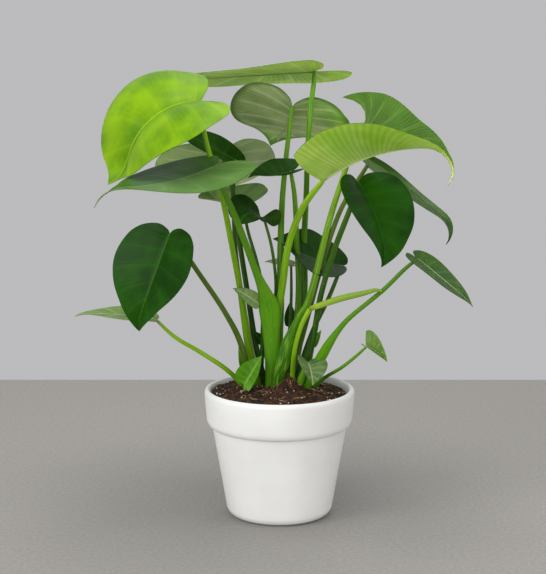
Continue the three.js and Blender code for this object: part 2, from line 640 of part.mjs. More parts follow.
for (const [key, leaf] of Object.entries(leaves)) {
  const detail = leaf.length < largeBlade.from ? middleBlade : largeBlade;
  addNode(`${nodeName(key)}_blade`, clearOf(toSolid(bladeGeometry(leaf, detail)), sleeves), leaf.blade);
}
addNode('rolled_leaf_blade', clearOf(toSolid(stemGeometry(rolledLeaf.roll, 0)), sleeves), 'lime');

addNode('soil', clearOf(toSolid(soilGeometry()), soilSleeves), 'soil');
addNode('pot', toSolid(potGeometry()), 'pot');

export default plant;
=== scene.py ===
import math
import random
import re
import bpy
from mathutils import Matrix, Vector, noise


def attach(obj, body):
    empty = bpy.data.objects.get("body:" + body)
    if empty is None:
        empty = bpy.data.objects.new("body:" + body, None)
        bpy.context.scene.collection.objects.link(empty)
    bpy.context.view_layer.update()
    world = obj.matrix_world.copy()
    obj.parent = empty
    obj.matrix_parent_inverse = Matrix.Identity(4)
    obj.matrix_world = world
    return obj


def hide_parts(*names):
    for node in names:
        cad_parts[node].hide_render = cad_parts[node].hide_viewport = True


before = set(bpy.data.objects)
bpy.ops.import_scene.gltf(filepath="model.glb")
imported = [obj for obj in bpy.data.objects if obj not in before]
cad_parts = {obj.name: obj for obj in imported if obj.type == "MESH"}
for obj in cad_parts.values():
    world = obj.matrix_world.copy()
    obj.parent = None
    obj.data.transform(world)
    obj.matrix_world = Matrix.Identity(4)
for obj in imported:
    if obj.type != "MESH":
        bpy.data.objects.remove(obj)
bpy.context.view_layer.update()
print("frame loaded,", len(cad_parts), "nodes")

mm = 0.001


def clamp(value):
    return min(max(value, 0.0), 1.0)


def shade(code, strength=1.0):
    # a colour as six sRGB digits, turned to linear light
    parts = [int(code[i:i + 2], 16) / 255 for i in (0, 2, 4)]
    linear = [c / 12.92 if c < 0.04045 else ((c + 0.055) / 1.055) ** 2.4 for c in parts]
    return [c * strength for c in linear] + [1.0]


# a socket that can be used in plain sums
class Wire:
    def __init__(self, paint, socket):
        self.paint = paint
        self.socket = socket

    def __add__(self, other):
        return self.paint.maths("ADD", self, other)

    def __radd__(self, other):
        return self.paint.maths("ADD", other, self)

    def __sub__(self, other):
        return self.paint.maths("SUBTRACT", self, other)

    def __rsub__(self, other):
        return self.paint.maths("SUBTRACT", other, self)

    def __mul__(self, other):
        return self.paint.maths("MULTIPLY", self, other)

    def __rmul__(self, other):
        return self.paint.maths("MULTIPLY", other, self)

    def __gt__(self, other):
        return self.paint.maths("GREATER_THAN", self, other)


# one material: its nodes, and the few that are used again and again
class Paint:
    def __init__(self, name, **plain):
        self.material = bpy.data.materials.new(name)
        self.material.use_nodes = True
        self.tree = self.material.node_tree
        self.tree.nodes.clear()
        self.shader = self.node("ShaderNodeBsdfPrincipled", {}, plain)
        self.node("ShaderNodeOutputMaterial", {}, {"Surface": self.shader})
        self.place = self.node("ShaderNodeTexCoord", {}, {}, "Object")

    def node(self, kind, settings, sockets, output=0):
        made = self.tree.nodes.new(kind)
        for key, value in settings.items():
            if key == "stops":
                ramp = made.color_ramp
                while len(ramp.elements) < len(value):
                    ramp.elements.new(0.5)
                for element, (position, colour) in zip(ramp.elements, value):
                    element.position = position
                    element.color = colour
            else:
                setattr(made, key, value)
        for key, value in sockets.items():
            if isinstance(value, Wire):
                self.tree.links.new(value.socket, made.inputs[key])
            else:
                made.inputs[key].default_value = value
        if not made.outputs:
            return made
        return Wire(self, made.outputs[output])

    def maths(self, operation, *values):
        return self.node("ShaderNodeMath", {"operation": operation}, dict(enumerate(values)))

    def mixed(self, first, second, factor):
        return self.node("ShaderNodeMix", {"data_type": "RGBA"}, {0: factor, 6: first, 7: second}, 2)

    def feed(self, name, value):
        self.tree.links.new(value.socket, self.shader.socket.node.inputs[name])

    def grain(self, scale, detail=3.0, rough=0.55):
        return self.node("ShaderNodeTexNoise", {"noise_dimensions": "3D"},
                         {"Vector": self.place, "Scale": scale, "Detail": detail, "Roughness": rough})

    def eased(self, value, low, high, start=0.0, end=1.0):
        return self.node("ShaderNodeMapRange", {"interpolation_type": "SMOOTHSTEP"},
                         {"Value": value, "From Min": low, "From Max": high, "To Min": start, "To Max": end})

    def bump(self, height, strength, distance):
        sockets = {"Height": height, "Strength": strength, "Distance": distance}
        self.feed("Normal", self.node("ShaderNodeBump", {}, sockets))

    def mapPair(self, name):
        # both numbers of one of the mesh's own maps
        place = self.node("ShaderNodeUVMap", {"uv_map": name}, {})
        split = self.node("ShaderNodeSeparateXYZ", {}, {"Vector": place})
        return split, Wire(self, split.socket.node.outputs[1])


def ringFaces(rings, sides, base=0, inward=False):
    # quads between rings of points that follow each other
    faces = []
    for ring in range(rings):
        a, b = base + ring * sides, base + (ring + 1) * sides
        for i in range(sides):
            j = (i + 1) % sides
            faces.append([a + i, b + i, b + j, a + j] if inward else [a + i, a + j, b + j, b + i])
    return faces


def tubeFaces(rings, sides):
    # the quads, and a flat face at each end
    return ringFaces(rings, sides) + [[*range(sides)][::-1], [*range(rings * sides, (rings + 1) * sides)]]


def turnedFaces(rings, sides, inward=False):
    # a first point, rings round the axis, and a last point
    faces = ringFaces(rings - 1, sides, 1, inward)
    outer = 1 + (rings - 1) * sides
    for i in range(sides):
        j = (i + 1) % sides
        first, second = (i, j) if inward else (j, i)
        faces += [[0, 1 + first, 1 + second], [outer + second, outer + first, outer + sides]]
    return faces


def circlePoints(radius, sides, heightAt):
    # one ring of points round the axis, each at the height that heightAt gives for its x and y
    points = []
    for i in range(sides):
        angle = 2 * math.pi * i / sides
        x, y = radius * math.cos(angle), radius * math.sin(angle)
        points.append(Vector((x, y, heightAt(x, y))) * mm)
    return points


def joinedMeshes(parts):
    # A part is its points, faces and maps, and a map gives each corner of the faces two numbers. A map that
    # a part lacks is filled with zeros.
    points, faces, partOf = [], [], []
    maps = {name: [] for part in parts for name in part[2]}
    for index, (partPoints, partFaces, partMaps) in enumerate(parts):
        start = len(points)
        points += partPoints
        faces += [[start + i for i in face] for face in partFaces]
        partOf += [index] * len(partFaces)
        corners = sum(len(face) for face in partFaces)
        for name in maps:
            maps[name] += partMaps.get(name, [(0.0, 0.0)] * corners)
    return points, faces, maps, partOf


def pieceFrom(name, parts, paints, nodes, sharp=50, paintOf=int):
    # paintOf turns a part's number into its paint's
    points, faces, maps, partOf = joinedMeshes(parts)
    mesh = bpy.data.meshes.new(name)
    mesh.from_pydata([tuple(p) for p in points], [], faces)
    for mapName, pairs in maps.items():
        layer = mesh.uv_layers.new(name=mapName)
        layer.data.foreach_set("uv", [number for pair in pairs for number in pair])
    for paint in paints:
        mesh.materials.append(paint.material)
    mesh.polygons.foreach_set("material_index", [paintOf(part) for part in partOf])
    mesh.polygons.foreach_set("use_smooth", [True] * len(mesh.polygons))
    mesh.update()
    mesh.set_sharp_from_angle(angle=math.radians(sharp))
    piece = bpy.data.objects.new(name, mesh)
    bpy.context.scene.collection.objects.link(piece)
    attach(piece, "root")
    if nodes:
        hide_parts(*nodes)


def snake(key):
    return re.sub("[A-Z]", lambda found: "_" + found.group().lower(), key)


# Leaf records in millimetres and degrees. size is the blade's length, its width as a share of that, and how
# far its lobes reach back. turn is its heading round +Z from +X, its pitch upward, and its roll about the
# midrib. fold raises both halves, lean adds to the left half and takes from the right, and curl bends each
# half on. bend droops the midrib, droops its last part more, and sways it sideways. sweep slants each
# half along the midrib, cut draws its base lobe forward, bare leaves out that share of its outline at the
# joint, and bow hollows the base that is left. wave ripples the margin. A stem path lists x, y, z and half
# width, and the blade starts at its end. tip is the little leaf that a sheath ends in.
plainLeaf = {"lean": 0, "curl": 0, "sweep": (0, 0), "cut": (0, 0), "bare": (0, 0), "bow": (0, 0), "taper": 0,
             "wave": 0.01}

leaves = {
    "limeLeft": {
        "look": "limeLeaf", "stalk": "limeStalk", "size": (128, 1.3, 0.15), "turn": (202, 3, -10),
        "fold": 27, "lean": -7, "curl": -31, "bend": (116, -91, -12), "sweep": (0.05, -0.21),
        "cut": (0.01, 0.07), "taper": -0.33, "wave": 0.012,
        "stem": [(-20, 10, 112, 3.6), (-21, 10, 126, 3.6), (-31, 8, 171, 4), (-39, 0, 228, 3),
            (-46, -8, 269, 2.8), (-57, -22, 329, 2.6), (-70, -32, 376, 2.4), (-76, -36, 415, 2)]},
    "flatLeft": {
        "look": "sheenFlatLeaf", "stalk": "brightSheath", "size": (145, 0.82, 0.14), "turn": (225, -16, 5),
        "fold": -1, "lean": -7, "bend": (-25, 71, -7), "sweep": (0.09, -0.25), "cut": (-0.02, 0.03),
        "taper": 0.9,
        "stem": [(-7, -3, 112, 7), (-7, -3, 126, 7.5), (-7, -6, 156, 7.5), (-8, -8, 183, 8.5),
            (-10, -11, 211, 10.5), (-15, -16, 229, 6.5), (-23, -22, 250, 3.8), (-40, -40, 299, 3.2),
            (-54, -56, 335, 2.8), (-60, -64, 357, 2.2)],
        "tip": {
            "look": "tipLeaf", "joint": (-22, -14, 217), "size": (29, 0.6, 0.1), "turn": (196, 39, -60),
            "fold": 15, "bend": (20, 10, 0), "wave": 0}},
    "behindLeft": {
        "look": "darkLeaf", "stalk": "darkStalk", "size": (80, 0.48, 0.12), "turn": (185, 31, -30),
        "fold": 12, "lean": 1, "bend": (12, 19, 3), "sweep": (0.04, 0.04), "wave": 0.012,
        "stem": [(-23, 20, 112, 2.8), (-24, 20, 126, 2.8), (-30, 22, 168, 2.8), (-38, 24, 219, 2.4),
            (-44, 22, 265, 2.2), (-46, 22, 321, 2), (-44, 20, 355, 1.8)]},
    "paleLeft": {
        "look": "shadeLeaf", "stalk": "darkStalk", "size": (137, 0.92, 0.2), "turn": (105, -32, -4),
        "fold": 5, "lean": 6, "curl": 2, "bend": (-18, -42, -5), "sweep": (0.12, 0.1), "cut": (0.03, -0.03),
        "stem": [(-14, 22, 112, 3), (-14, 22, 126, 3), (-24, 26, 167, 3), (-33, 36, 223, 2.8),
            (-41, 46, 273, 2.6), (-48, 58, 323, 2.4), (-58, 66, 357, 1.8)]},
    "darkCentre": {
        "look": "darkLeaf", "stalk": "midStalk", "size": (53, 0.69, 0.2), "turn": (212, -13, -23),
        "fold": 30, "lean": 1, "curl": -6, "bend": (-33, 46, 3), "sweep": (0, -0.11), "cut": (0, -0.05),
        "stem": [(4, 18, 112, 3), (4, 18, 126, 3), (15, 20, 174, 3), (19, 19, 225, 2.8), (17, 16, 277, 2.6),
            (15, 10, 318, 2.4), (11, 5, 345, 1.8)]},
    "limeRight": {
        "look": "limeFold", "stalk": "limeStalk", "size": (158, 0.92, 0.03), "turn": (335, 35, 26),
        "fold": 44, "lean": -7, "bend": (30, 143, -47), "sweep": (0.24, 0.16), "cut": (0, 0.01),
        "bare": (0.51, 0), "bow": (0.23, 0), "taper": 0.8,
        "stem": [(-5, 7, 112, 3.6), (-5, 7, 126, 3.6), (-3, 4, 188, 3.8), (3, -11, 236, 3.6),
            (9, -20, 277, 3.4), (22, -29, 313, 3.2), (41, -35, 340, 2.4)]},
    "paleBack": {
        "look": "backLeaf", "stalk": "midStalk", "size": (126, 0.99, 0.21), "turn": (95, -33, 17),
        "fold": 9, "lean": -6, "curl": -10, "bend": (-28, 45, 17), "sweep": (-0.19, 0.09),
        "cut": (-0.02, 0.03), "wave": 0.012,
        "stem": [(-2, 14, 112, 3.4), (-2, 14, 126, 3.4), (1, 12, 206, 3.6), (1, 12, 258, 3.4),
            (2, 22, 301, 3), (5, 42, 339, 2.6), (9, 56, 374, 2.4), (13, 62, 405, 1.9)]},
    "topLeaf": {
        "look": "highLeaf", "stalk": "midStalk", "size": (171, 0.8, 0.2), "turn": (182, -3, 11), "fold": -1,
        "bend": (2, -9, 2), "sweep": (-0.08, -0.1), "cut": (0.18, -0.02), "bare": (0.22, 0), "wave": 0.012,
        "stem": [(10, 27, 112, 3.6), (10, 27, 126, 3.6), (20, 32, 166, 3.8), (25, 42, 221, 3.8),
            (25, 47, 266, 3.2), (27, 41, 318, 2.8), (28, 30, 365, 2.6), (31, 33, 406, 2.6),
            (34, 45, 428, 2.4), (36, 87, 440, 2)]},
    "darkHeart": {
        "look": "heartLeaf", "stalk": "darkStalk", "size": (86, 1.06, 0.11), "turn": (308, -44, -13),
        "fold": 32, "lean": 9, "curl": -24, "bend": (30, 43, 3), "sweep": (0.08, 0.2),
        "stem": [(18, 5, 112, 3), (19, 5, 126, 3), (32, -10, 174, 3), (40, -24, 226, 2.8),
            (52, -38, 272, 2.8), (64, -52, 308, 2.6), (74, -70, 340, 2)]},
    "darkDroop": {
        "look": "greyLeaf", "stalk": "oliveStalk", "size": (121, 0.56, 0.16), "turn": (332, -36, -15),
        "fold": 17, "lean": 2, "bend": (-12, 98, -1), "sweep": (0.03, 0), "cut": (0.01, 0),
        "stem": [(8, 11, 112, 3), (8, 11, 126, 3), (19, 12, 165, 3), (31, 8, 211, 2.8), (44, 4, 261, 2.6),
            (59, 7, 304, 2.4), (73, 13, 328, 2.4), (87, 18, 350, 1.9)]},
    "backRight": {
        "look": "limeLeaf", "stalk": "limeOnSheath", "size": (115, 0.85, 0.15), "turn": (42, 9, 0),
        "fold": 12, "curl": -10, "bend": (20, 20, 4), "wave": 0.014,
        "stem": [(-3, -13, 112, 6), (-3, -13, 126, 6.5), (-1, -15, 145, 7), (3, -16, 158, 7),
            (8, -16, 176, 6.5), (14, -16, 192, 4.5), (21, -16, 207, 3.5), (29, -13, 221, 3.4),
            (42, -4, 270, 3.2), (51, 10, 302, 3), (63, 28, 336, 2.8), (74, 47, 367, 2.2)]},
    "darkBehind": {
        "look": "darkLeaf", "stalk": "darkStalk", "size": (79, 1.11, 0.07), "turn": (183, 6, -28),
        "fold": 10, "lean": 6, "bend": (-50, 44, 3), "sweep": (0.36, 0.39), "cut": (-0.04, -0.07),
        "stem": [(14, 20, 112, 2.6), (15, 20, 126, 2.6), (32, 30, 176, 2.4), (50, 34, 214, 2.2),
            (63, 35, 247, 1.8)]},
    "curledSmall": {
        "look": "darkLeaf", "stalk": "darkStalk", "size": (52, 1.22, 0.12), "turn": (215, 38, 29),
        "fold": -21, "lean": -36, "curl": 64, "bend": (91, -15, 11), "sweep": (0.05, -0.05),
        "cut": (-0.01, 0.01),
        "stem": [(-12, 15, 112, 2.2), (-12, 15, 126, 2.2), (-7, 14, 180, 2), (-4, 12, 215, 1.8),
            (-4, 11, 240, 1.6), (-8, 10, 270, 1.5), (-15, 10, 297, 1.3)]},
    "paleSmall": {
        "look": "smallPaleLeaf", "stalk": "darkStalk", "size": (81, 0.93, 0.21), "turn": (125, -7, -6),
        "fold": 27, "lean": -3, "curl": -8, "bend": (-26, -5, -10), "sweep": (-0.04, -0.03),
        "stem": [(-19, 14, 112, 2.4), (-19, 14, 126, 2.4), (-17, 13, 180, 2.2), (-17, 11, 225, 2),
            (-23, 20, 254, 1.8), (-32, 31, 284, 1.6), (-36, 42, 307, 1.4)]},
    "rightLeaf": {
        "look": "greyLeaf", "stalk": "brightSheath", "size": (71, 0.58, 0.14), "turn": (329, -33, 3),
        "fold": 6, "curl": 6, "bend": (3, 12, 3), "sweep": (0.01, 0.01),
        "stem": [(26, -3, 112, 4), (26, -3, 126, 4.2), (31, -8, 142, 4.6), (37, -12, 155, 5),
            (43, -17, 167, 5), (49, -22, 179, 4.3), (57, -27, 192, 3), (69, -32, 207, 2.4),
            (99, -40, 234, 2.2), (119, -44, 255, 2), (132, -45, 266, 1.5)]},
    "heartLeft": {
        "look": "heartLeaf", "stalk": "oliveStalk", "size": (100, 0.92, 0.1), "turn": (226, -62, -11),
        "fold": 21, "curl": -14, "bend": (20, 44, -15), "sweep": (0.21, 0.16),
        "stem": [(-27, 0, 112, 3.2), (-28, 0, 126, 3.2), (-38, -8, 174, 3), (-54, -16, 209, 2.6),
            (-79, -28, 250, 2.4), (-96, -40, 278, 2.2), (-105, -50, 290, 1.7)]},
    "limeLow": {
        "look": "lowLeaf", "stalk": "limeStalk", "size": (80, 0.7, 0.05), "turn": (189, 11, -1), "fold": 6,
        "lean": -2, "bend": (10, 17, -1), "wave": 0.012,
        "stem": [(-35, 8, 112, 2.6), (-36, 8, 126, 2.6), (-52, 2, 146, 2.4), (-79, -4, 166, 2.2),
            (-103, -10, 182, 2), (-122, -15, 201, 1.5)]},
    "triangle": {
        "look": "lowLeaf", "stalk": "midStalk", "size": (39, 0.93, 0.06), "turn": (296, -1, 28), "fold": 53,
        "lean": 3, "curl": 15, "bend": (15, 28, -6), "sweep": (0, 0.8), "wave": 0,
        "stem": [(32, 3, 112, 2), (34, 2, 126, 2), (44, -12, 141, 1.8), (60, -28, 155, 1.7),
            (73, -38, 168, 1.6), (84, -45, 180, 1.2)]},
    "paleBehind": {
        "look": "smallPaleLeaf", "stalk": "darkStalk", "size": (27, 0.81, 0.17), "turn": (182, 9, -7),
        "fold": 5, "lean": -3, "bend": (6, 9, 0), "wave": 0,
        "stem": [(-2, 30, 112, 2), (-2, 30, 126, 2), (9, 36, 170, 1.8), (12, 43, 209, 1.6),
            (12, 46, 247, 1.2)]}}

sprouts = {
    "frontSprout": {
        "look": "sproutLeaf", "size": (36, 0.8, 0.06), "turn": (335, 58, 78), "fold": 18, "curl": 28,
        "bend": (-6, 10, 0), "wave": 0,
        "stem": [(-34, -10, 112, 2.2), (-34, -10, 124, 2.4), (-34, -10, 135, 1.8)]},
    "sideSheath": {
        "look": "sproutLeaf", "size": (36, 0.5, 0.03), "turn": (202, 73, -80), "fold": 15, "curl": 10,
        "bend": (0, 10, 0), "wave": 0,
        "stem": [(-31, 9, 112, 2), (-31, 9, 124, 2), (-31, 9, 140, 1.6)]},
    "budLeaf": {
        "look": "darkLeaf", "size": (15, 0.7, 0.1), "turn": (195, 53, -60), "fold": 10, "bend": (0, 10, 0),
        "wave": 0,
        "stem": [(-9, 24, 112, 1.4), (-9, 24, 126, 1.4), (-13, 20, 150, 1.2), (-18, 16, 172, 1)]},
    "foldedSprout": {
        "look": "tipLeaf", "size": (28, 1.3, 0.12), "turn": (285, -28, -12), "fold": 30,
        "bend": (25, 15, 0), "wave": 0,
        "stem": [(18, -9, 112, 3.6), (18, -9, 126, 3.8), (22, -12, 142, 3.4), (28, -18, 158, 1.8)]},
    "stubLeaf": {
        "look": "sproutLeaf", "size": (18, 0.45, 0.05), "turn": (345, 65, 70), "fold": 15,
        "bend": (0, 10, 0), "wave": 0,
        "stem": [(25, 8, 112, 2), (25, 8, 126, 2), (30, 4, 150, 1.7), (34, -1, 172, 1.2)]},
    "backSprout": {
        "look": "darkLeaf", "size": (24, 0.5, 0.08), "turn": (90, 85, 0), "fold": 5, "bend": (0, 0, 0),
        "wave": 0,
        "stem": [(5, 40, 112, 1.6), (5, 40, 126, 1.6), (9, 43, 155, 1.4), (11, 46, 184, 1.1)]}}

rolledLeaf = {
    "stem": [(12, -9, 112, 2.6), (12, -9, 126, 2.6), (14, -17, 165, 2.4), (20, -22, 193, 2.3),
             (29, -25, 213, 2.4)],
    "roll": [(30, -26, 214, 2.6), (42, -30, 219, 3), (60, -36, 226, 3.2), (80, -43, 232, 2.6),
             (92, -47, 236, 1.8), (98, -49, 235, 1)]}

# shrink keeps a blade just inside the solid that it replaces
bladeForm = {
    "outline": [(0, 0), (-0.085, 0.03), (-0.165, 0.13), (-0.12, 0.28), (0.06, 0.385),
                (0.29, 0.41), (0.54, 0.335), (0.76, 0.19), (0.91, 0.062), (1, 0)],
    "width": 0.82, "lobe": 0.165, "fanShare": 0.26, "fanPower": 1.25, "tipStart": 0.7, "tipPower": 1.5,
    "cutReach": 0.45, "taperFrom": 0.45, "taperReach": 0.4, "curlReach": 0.41, "leastTurn": 0.001,
    "rippleTurns": 5, "quilt": 0.0016, "veins": 9, "veinSlant": 0.5, "shrink": 0.999, "steps": 96,
    "thick": 0.8, "edgeThick": 0.5, "bigLength": 72, "bigGrid": (44, 9), "smallGrid": (30, 6),
    "sproutGrid": (20, 5)}

ribForm = {"radius": 1.1, "sides": 6, "rings": 26, "reach": 0.96, "taper": 0.85, "sink": 0.35, "ahead": 0.01,
           "usualLength": 120}


def alongPath(points, share):
    # a smooth curve through all the points
    last = len(points) - 1
    place = clamp(share) * last
    index = min(int(place), last - 1)
    f = place - index

    def pick(i):
        if i < 0:
            return [2 * a - b for a, b in zip(points[0], points[1])]
        if i > last:
            return [2 * a - b for a, b in zip(points[last], points[last - 1])]
        return points[i]
    near = [pick(index + i) for i in (-1, 0, 1, 2)]
    return [0.5 * (2 * b + (c - a) * f + (2 * a - 5 * b + 4 * c - d) * f * f
                   + (3 * b - a - 3 * c + d) * f ** 3) for a, b, c, d in zip(*near)]


# One blade: its midrib is worked out once, then any place on it can be asked for.
class Blade:
    def __init__(self, record):
        self.leaf = {**plainLeaf, **record}
        self.joint = Vector(record["joint"] if "joint" in record else record["stem"][-1][:3])
        self.length, self.width, self.lobe = record["size"]
        self.droop, self.tipDroop, sway = (math.radians(angle) for angle in record["bend"])
        h, p, r = (math.radians(angle) for angle in record["turn"])
        along = Vector((math.cos(h) * math.cos(p), math.sin(h) * math.cos(p), math.sin(p)))
        level = Vector((-math.sin(h), math.cos(h), 0))
        upright = along.cross(level)
        across = level * math.cos(r) + upright * math.sin(r)
        self.axes = (along, across, upright * math.cos(r) - level * math.sin(r))
        steps = bladeForm["steps"]
        self.rib = [(0.0, 0.0, 0.0)]
        for i in range(steps):
            s = (i + 0.5) / steps
            x, y, z = self.rib[-1]
            slope = self.slope(s)
            self.rib.append((x + math.cos(slope) / steps, y + math.sin(sway * s) / steps,
                             z - math.sin(slope) / steps))

    def slope(self, s):
        tip = max(s - bladeForm["tipStart"], 0) / (1 - bladeForm["tipStart"])
        return self.droop * s + self.tipDroop * tip ** bladeForm["tipPower"]

    def edge(self, side, p):
        leaf = self.leaf
        half = 0 if side > 0 else 1
        x, y = alongPath(bladeForm["outline"], p)
        along = x * self.lobe / bladeForm["lobe"] if x < 0 else x
        narrow = clamp((along - bladeForm["taperFrom"]) / bladeForm["taperReach"])
        across = y * self.width / bladeForm["width"] * (1 - leaf["taper"] * narrow * narrow)
        slant = leaf["sweep"][half] * across * (1 - clamp(along))
        trim = leaf["cut"][half] * math.sin(math.pi * min(p / bladeForm["cutReach"], 1))
        return along + slant + trim, across

    def bent(self, side, x, y, lift):
        leaf = self.leaf
        fold = math.radians(leaf["fold"] + side * leaf["lean"])
        turn = math.radians(leaf["curl"]) / bladeForm["curlReach"]
        if abs(turn) < bladeForm["leastTurn"]:
            turn = bladeForm["leastTurn"]
        across = (math.sin(fold + turn * y) - math.sin(fold)) / turn
        up = (math.cos(fold) - math.cos(fold + turn * y)) / turn + lift
        steps = len(self.rib) - 1
        place = clamp(x) * steps
        i = min(int(place), steps - 1)
        rib = [a + (b - a) * (place - i) for a, b in zip(self.rib[i], self.rib[i + 1])]
        slope = self.slope(x) if x > 0 else 0
        return (rib[0] + min(x, 0) + up * math.sin(slope), rib[1] + side * across,
                rib[2] + up * math.cos(slope))

    def placed(self, local):
        point = self.joint
        for value, axis in zip(local, self.axes):
            point = point + axis * (value * self.length * bladeForm["shrink"])
        return point

    def at(self, side, share, k):
        # share runs from the joint round the margin to the tip, and k from the midrib out to the margin
        leaf = self.leaf
        half = 0 if side > 0 else 1
        p = leaf["bare"][half] + (1 - leaf["bare"][half]) * share
        rib = clamp((share - bladeForm["fanShare"]) / (1 - bladeForm["fanShare"])) ** bladeForm["fanPower"]
        edgeX, edgeY = self.edge(side, p)
        ripple = leaf["wave"] * math.sin(bladeForm["rippleTurns"] * math.pi * p + side) * k * k
        ripple *= math.sin(math.pi * p)
        veins = math.cos(2 * math.pi * (bladeForm["veins"] * share - bladeForm["veinSlant"] * k))
        quilt = bladeForm["quilt"] * veins * math.sin(math.pi * k) * math.sin(math.pi * share)
        hollow = leaf["bow"][half] * 4 * k * (1 - k) * (1 - share) ** 2
        return self.placed(self.bent(side, rib + (edgeX - rib) * k + hollow, edgeY * k, ripple + quilt))


def bladeSheet(blade, rows, columns):
    # corners are (point, share, signed k, distance from the midrib, half width there)
    points, known, quads, depth = [], {}, [], []

    def pointAt(side, row, column):
        place = blade.at(side, row / rows, column / columns)
        key = tuple(round(v, 3) for v in place)
        if key not in known:
            known[key] = len(points)
            points.append(place)
            depth.append(column / columns)
        return known[key], place
    for side in (1, -1):
        grid = []
        for row in range(rows + 1):
            line = []
            walked = 0
            before = None
            for column in range(columns + 1):
                index, place = pointAt(side, row, column)
                walked += (place - before).length if before else 0
                before = place
                line.append((index, row / rows, side * column / columns, walked))
            grid.append([corner + (walked,) for corner in line])
        for row in range(rows):
            for column in range(columns):
                near, far = grid[row][column:column + 2], grid[row + 1][column:column + 2]
                quad = [near[0], far[0], far[1], near[1]]
                if side < 0:
                    quad.reverse()
                kept = [c for i, c in enumerate(quad) if c[0] != quad[i - 1][0]]
                if len(kept) > 2:
                    quads.append(kept)
    return points, depth, quads


def sheetMesh(blade, rows, columns):
    # the sheet on both faces, and a strip round the margin
    points, depth, quads = bladeSheet(blade, rows, columns)
    normals = [Vector() for _ in points]
    for quad in quads:
        a, b, c = (points[corner[0]] for corner in quad[:3])
        face = (b - a).cross(c - a)
        for corner in quad:
            normals[corner[0]] += face
    for n in normals:
        n.normalize()
    thin = [bladeForm["thick"] + (bladeForm["edgeThick"] - bladeForm["thick"]) * k for k in depth]
    count = len(points)
    solid = [(p + n * t / 2) * mm for p, n, t in zip(points, normals, thin)]
    solid += [(p - n * t / 2) * mm for p, n, t in zip(points, normals, thin)]
    faces, leafMap, sizeMap = [], [], []

    def addFace(corners, under):
        faces.append([c[0] + (count if under else 0) for c in corners])
        leafMap.extend((c[1] + (2 if under else 0), 0.5 + 0.5 * c[2]) for c in corners)
        sizeMap.extend((c[3] / 10, (c[4] - c[3]) / 10) for c in corners)
    edges = {}
    for quad in quads:
        addFace(quad, False)
        addFace(quad[::-1], True)
        for i, corner in enumerate(quad):
            edges[(quad[i - 1][0], corner[0])] = (quad[i - 1], corner)
    for (a, b), (first, second) in edges.items():
        if (b, a) not in edges:
            faces.append([b, a, a + count, b + count])
            ring = (second, first, first, second)
            leafMap.extend((c[1], 0.5 + 0.5 * c[2]) for c in ring)
            sizeMap.extend((c[3] / 10, 0) for c in ring)
    return solid, faces, {"leafMap": leafMap, "leafSize": sizeMap}


def ribMesh(blade):
    # the midrib, which stands out below
    sides, rings = ribForm["sides"], ribForm["rings"]
    reach = blade.length * ribForm["reach"]
    full = ribForm["radius"] * (blade.length / ribForm["usualLength"]) ** 0.5
    points, leafMap, sizeMap = [], [], []
    for ring in range(rings + 1):
        s = ring / rings
        centre = blade.placed(blade.bent(1, s * ribForm["reach"], 0, 0))
        ahead = blade.placed(blade.bent(1, s * ribForm["reach"] + ribForm["ahead"], 0, 0)) - centre
        ahead.normalize()
        wide = blade.axes[1] - ahead * blade.axes[1].dot(ahead)
        wide.normalize()
        down = ahead.cross(wide)
        radius = full * (1 - ribForm["taper"] * s)
        for i in range(sides):
            angle = 2 * math.pi * i / sides
            offset = wide * math.cos(angle) * radius + down * (math.sin(angle) * radius)
            points.append((centre - down * (ribForm["sink"] * radius) + offset) * mm)
    for ring in range(rings):
        low, high = ring / rings, (ring + 1) / rings
        leafMap += [(2 + low, 0.5), (2 + low, 0.5), (2 + high, 0.5), (2 + high, 0.5)] * sides
        sizeMap += [(0, low * reach / 10)] * (4 * sides)
    leafMap += [(2.0, 0.5)] * (2 * sides)
    sizeMap += [(0, 0)] * (2 * sides)
    return points, tubeFaces(rings, sides), {"leafMap": leafMap, "leafSize": sizeMap}


def bladeMesh(record, rows, columns):
    blade = Blade(record)
    return joinedMeshes([sheetMesh(blade, rows, columns), ribMesh(blade)])[:3]


# upper and under are each face's deep and light colour, mixes says how much the veins and the fine veins
# show, and margin is its reach, strength and colour
plainLook = {"rough": 0.42, "shine": 0.2, "coat": 0.03}

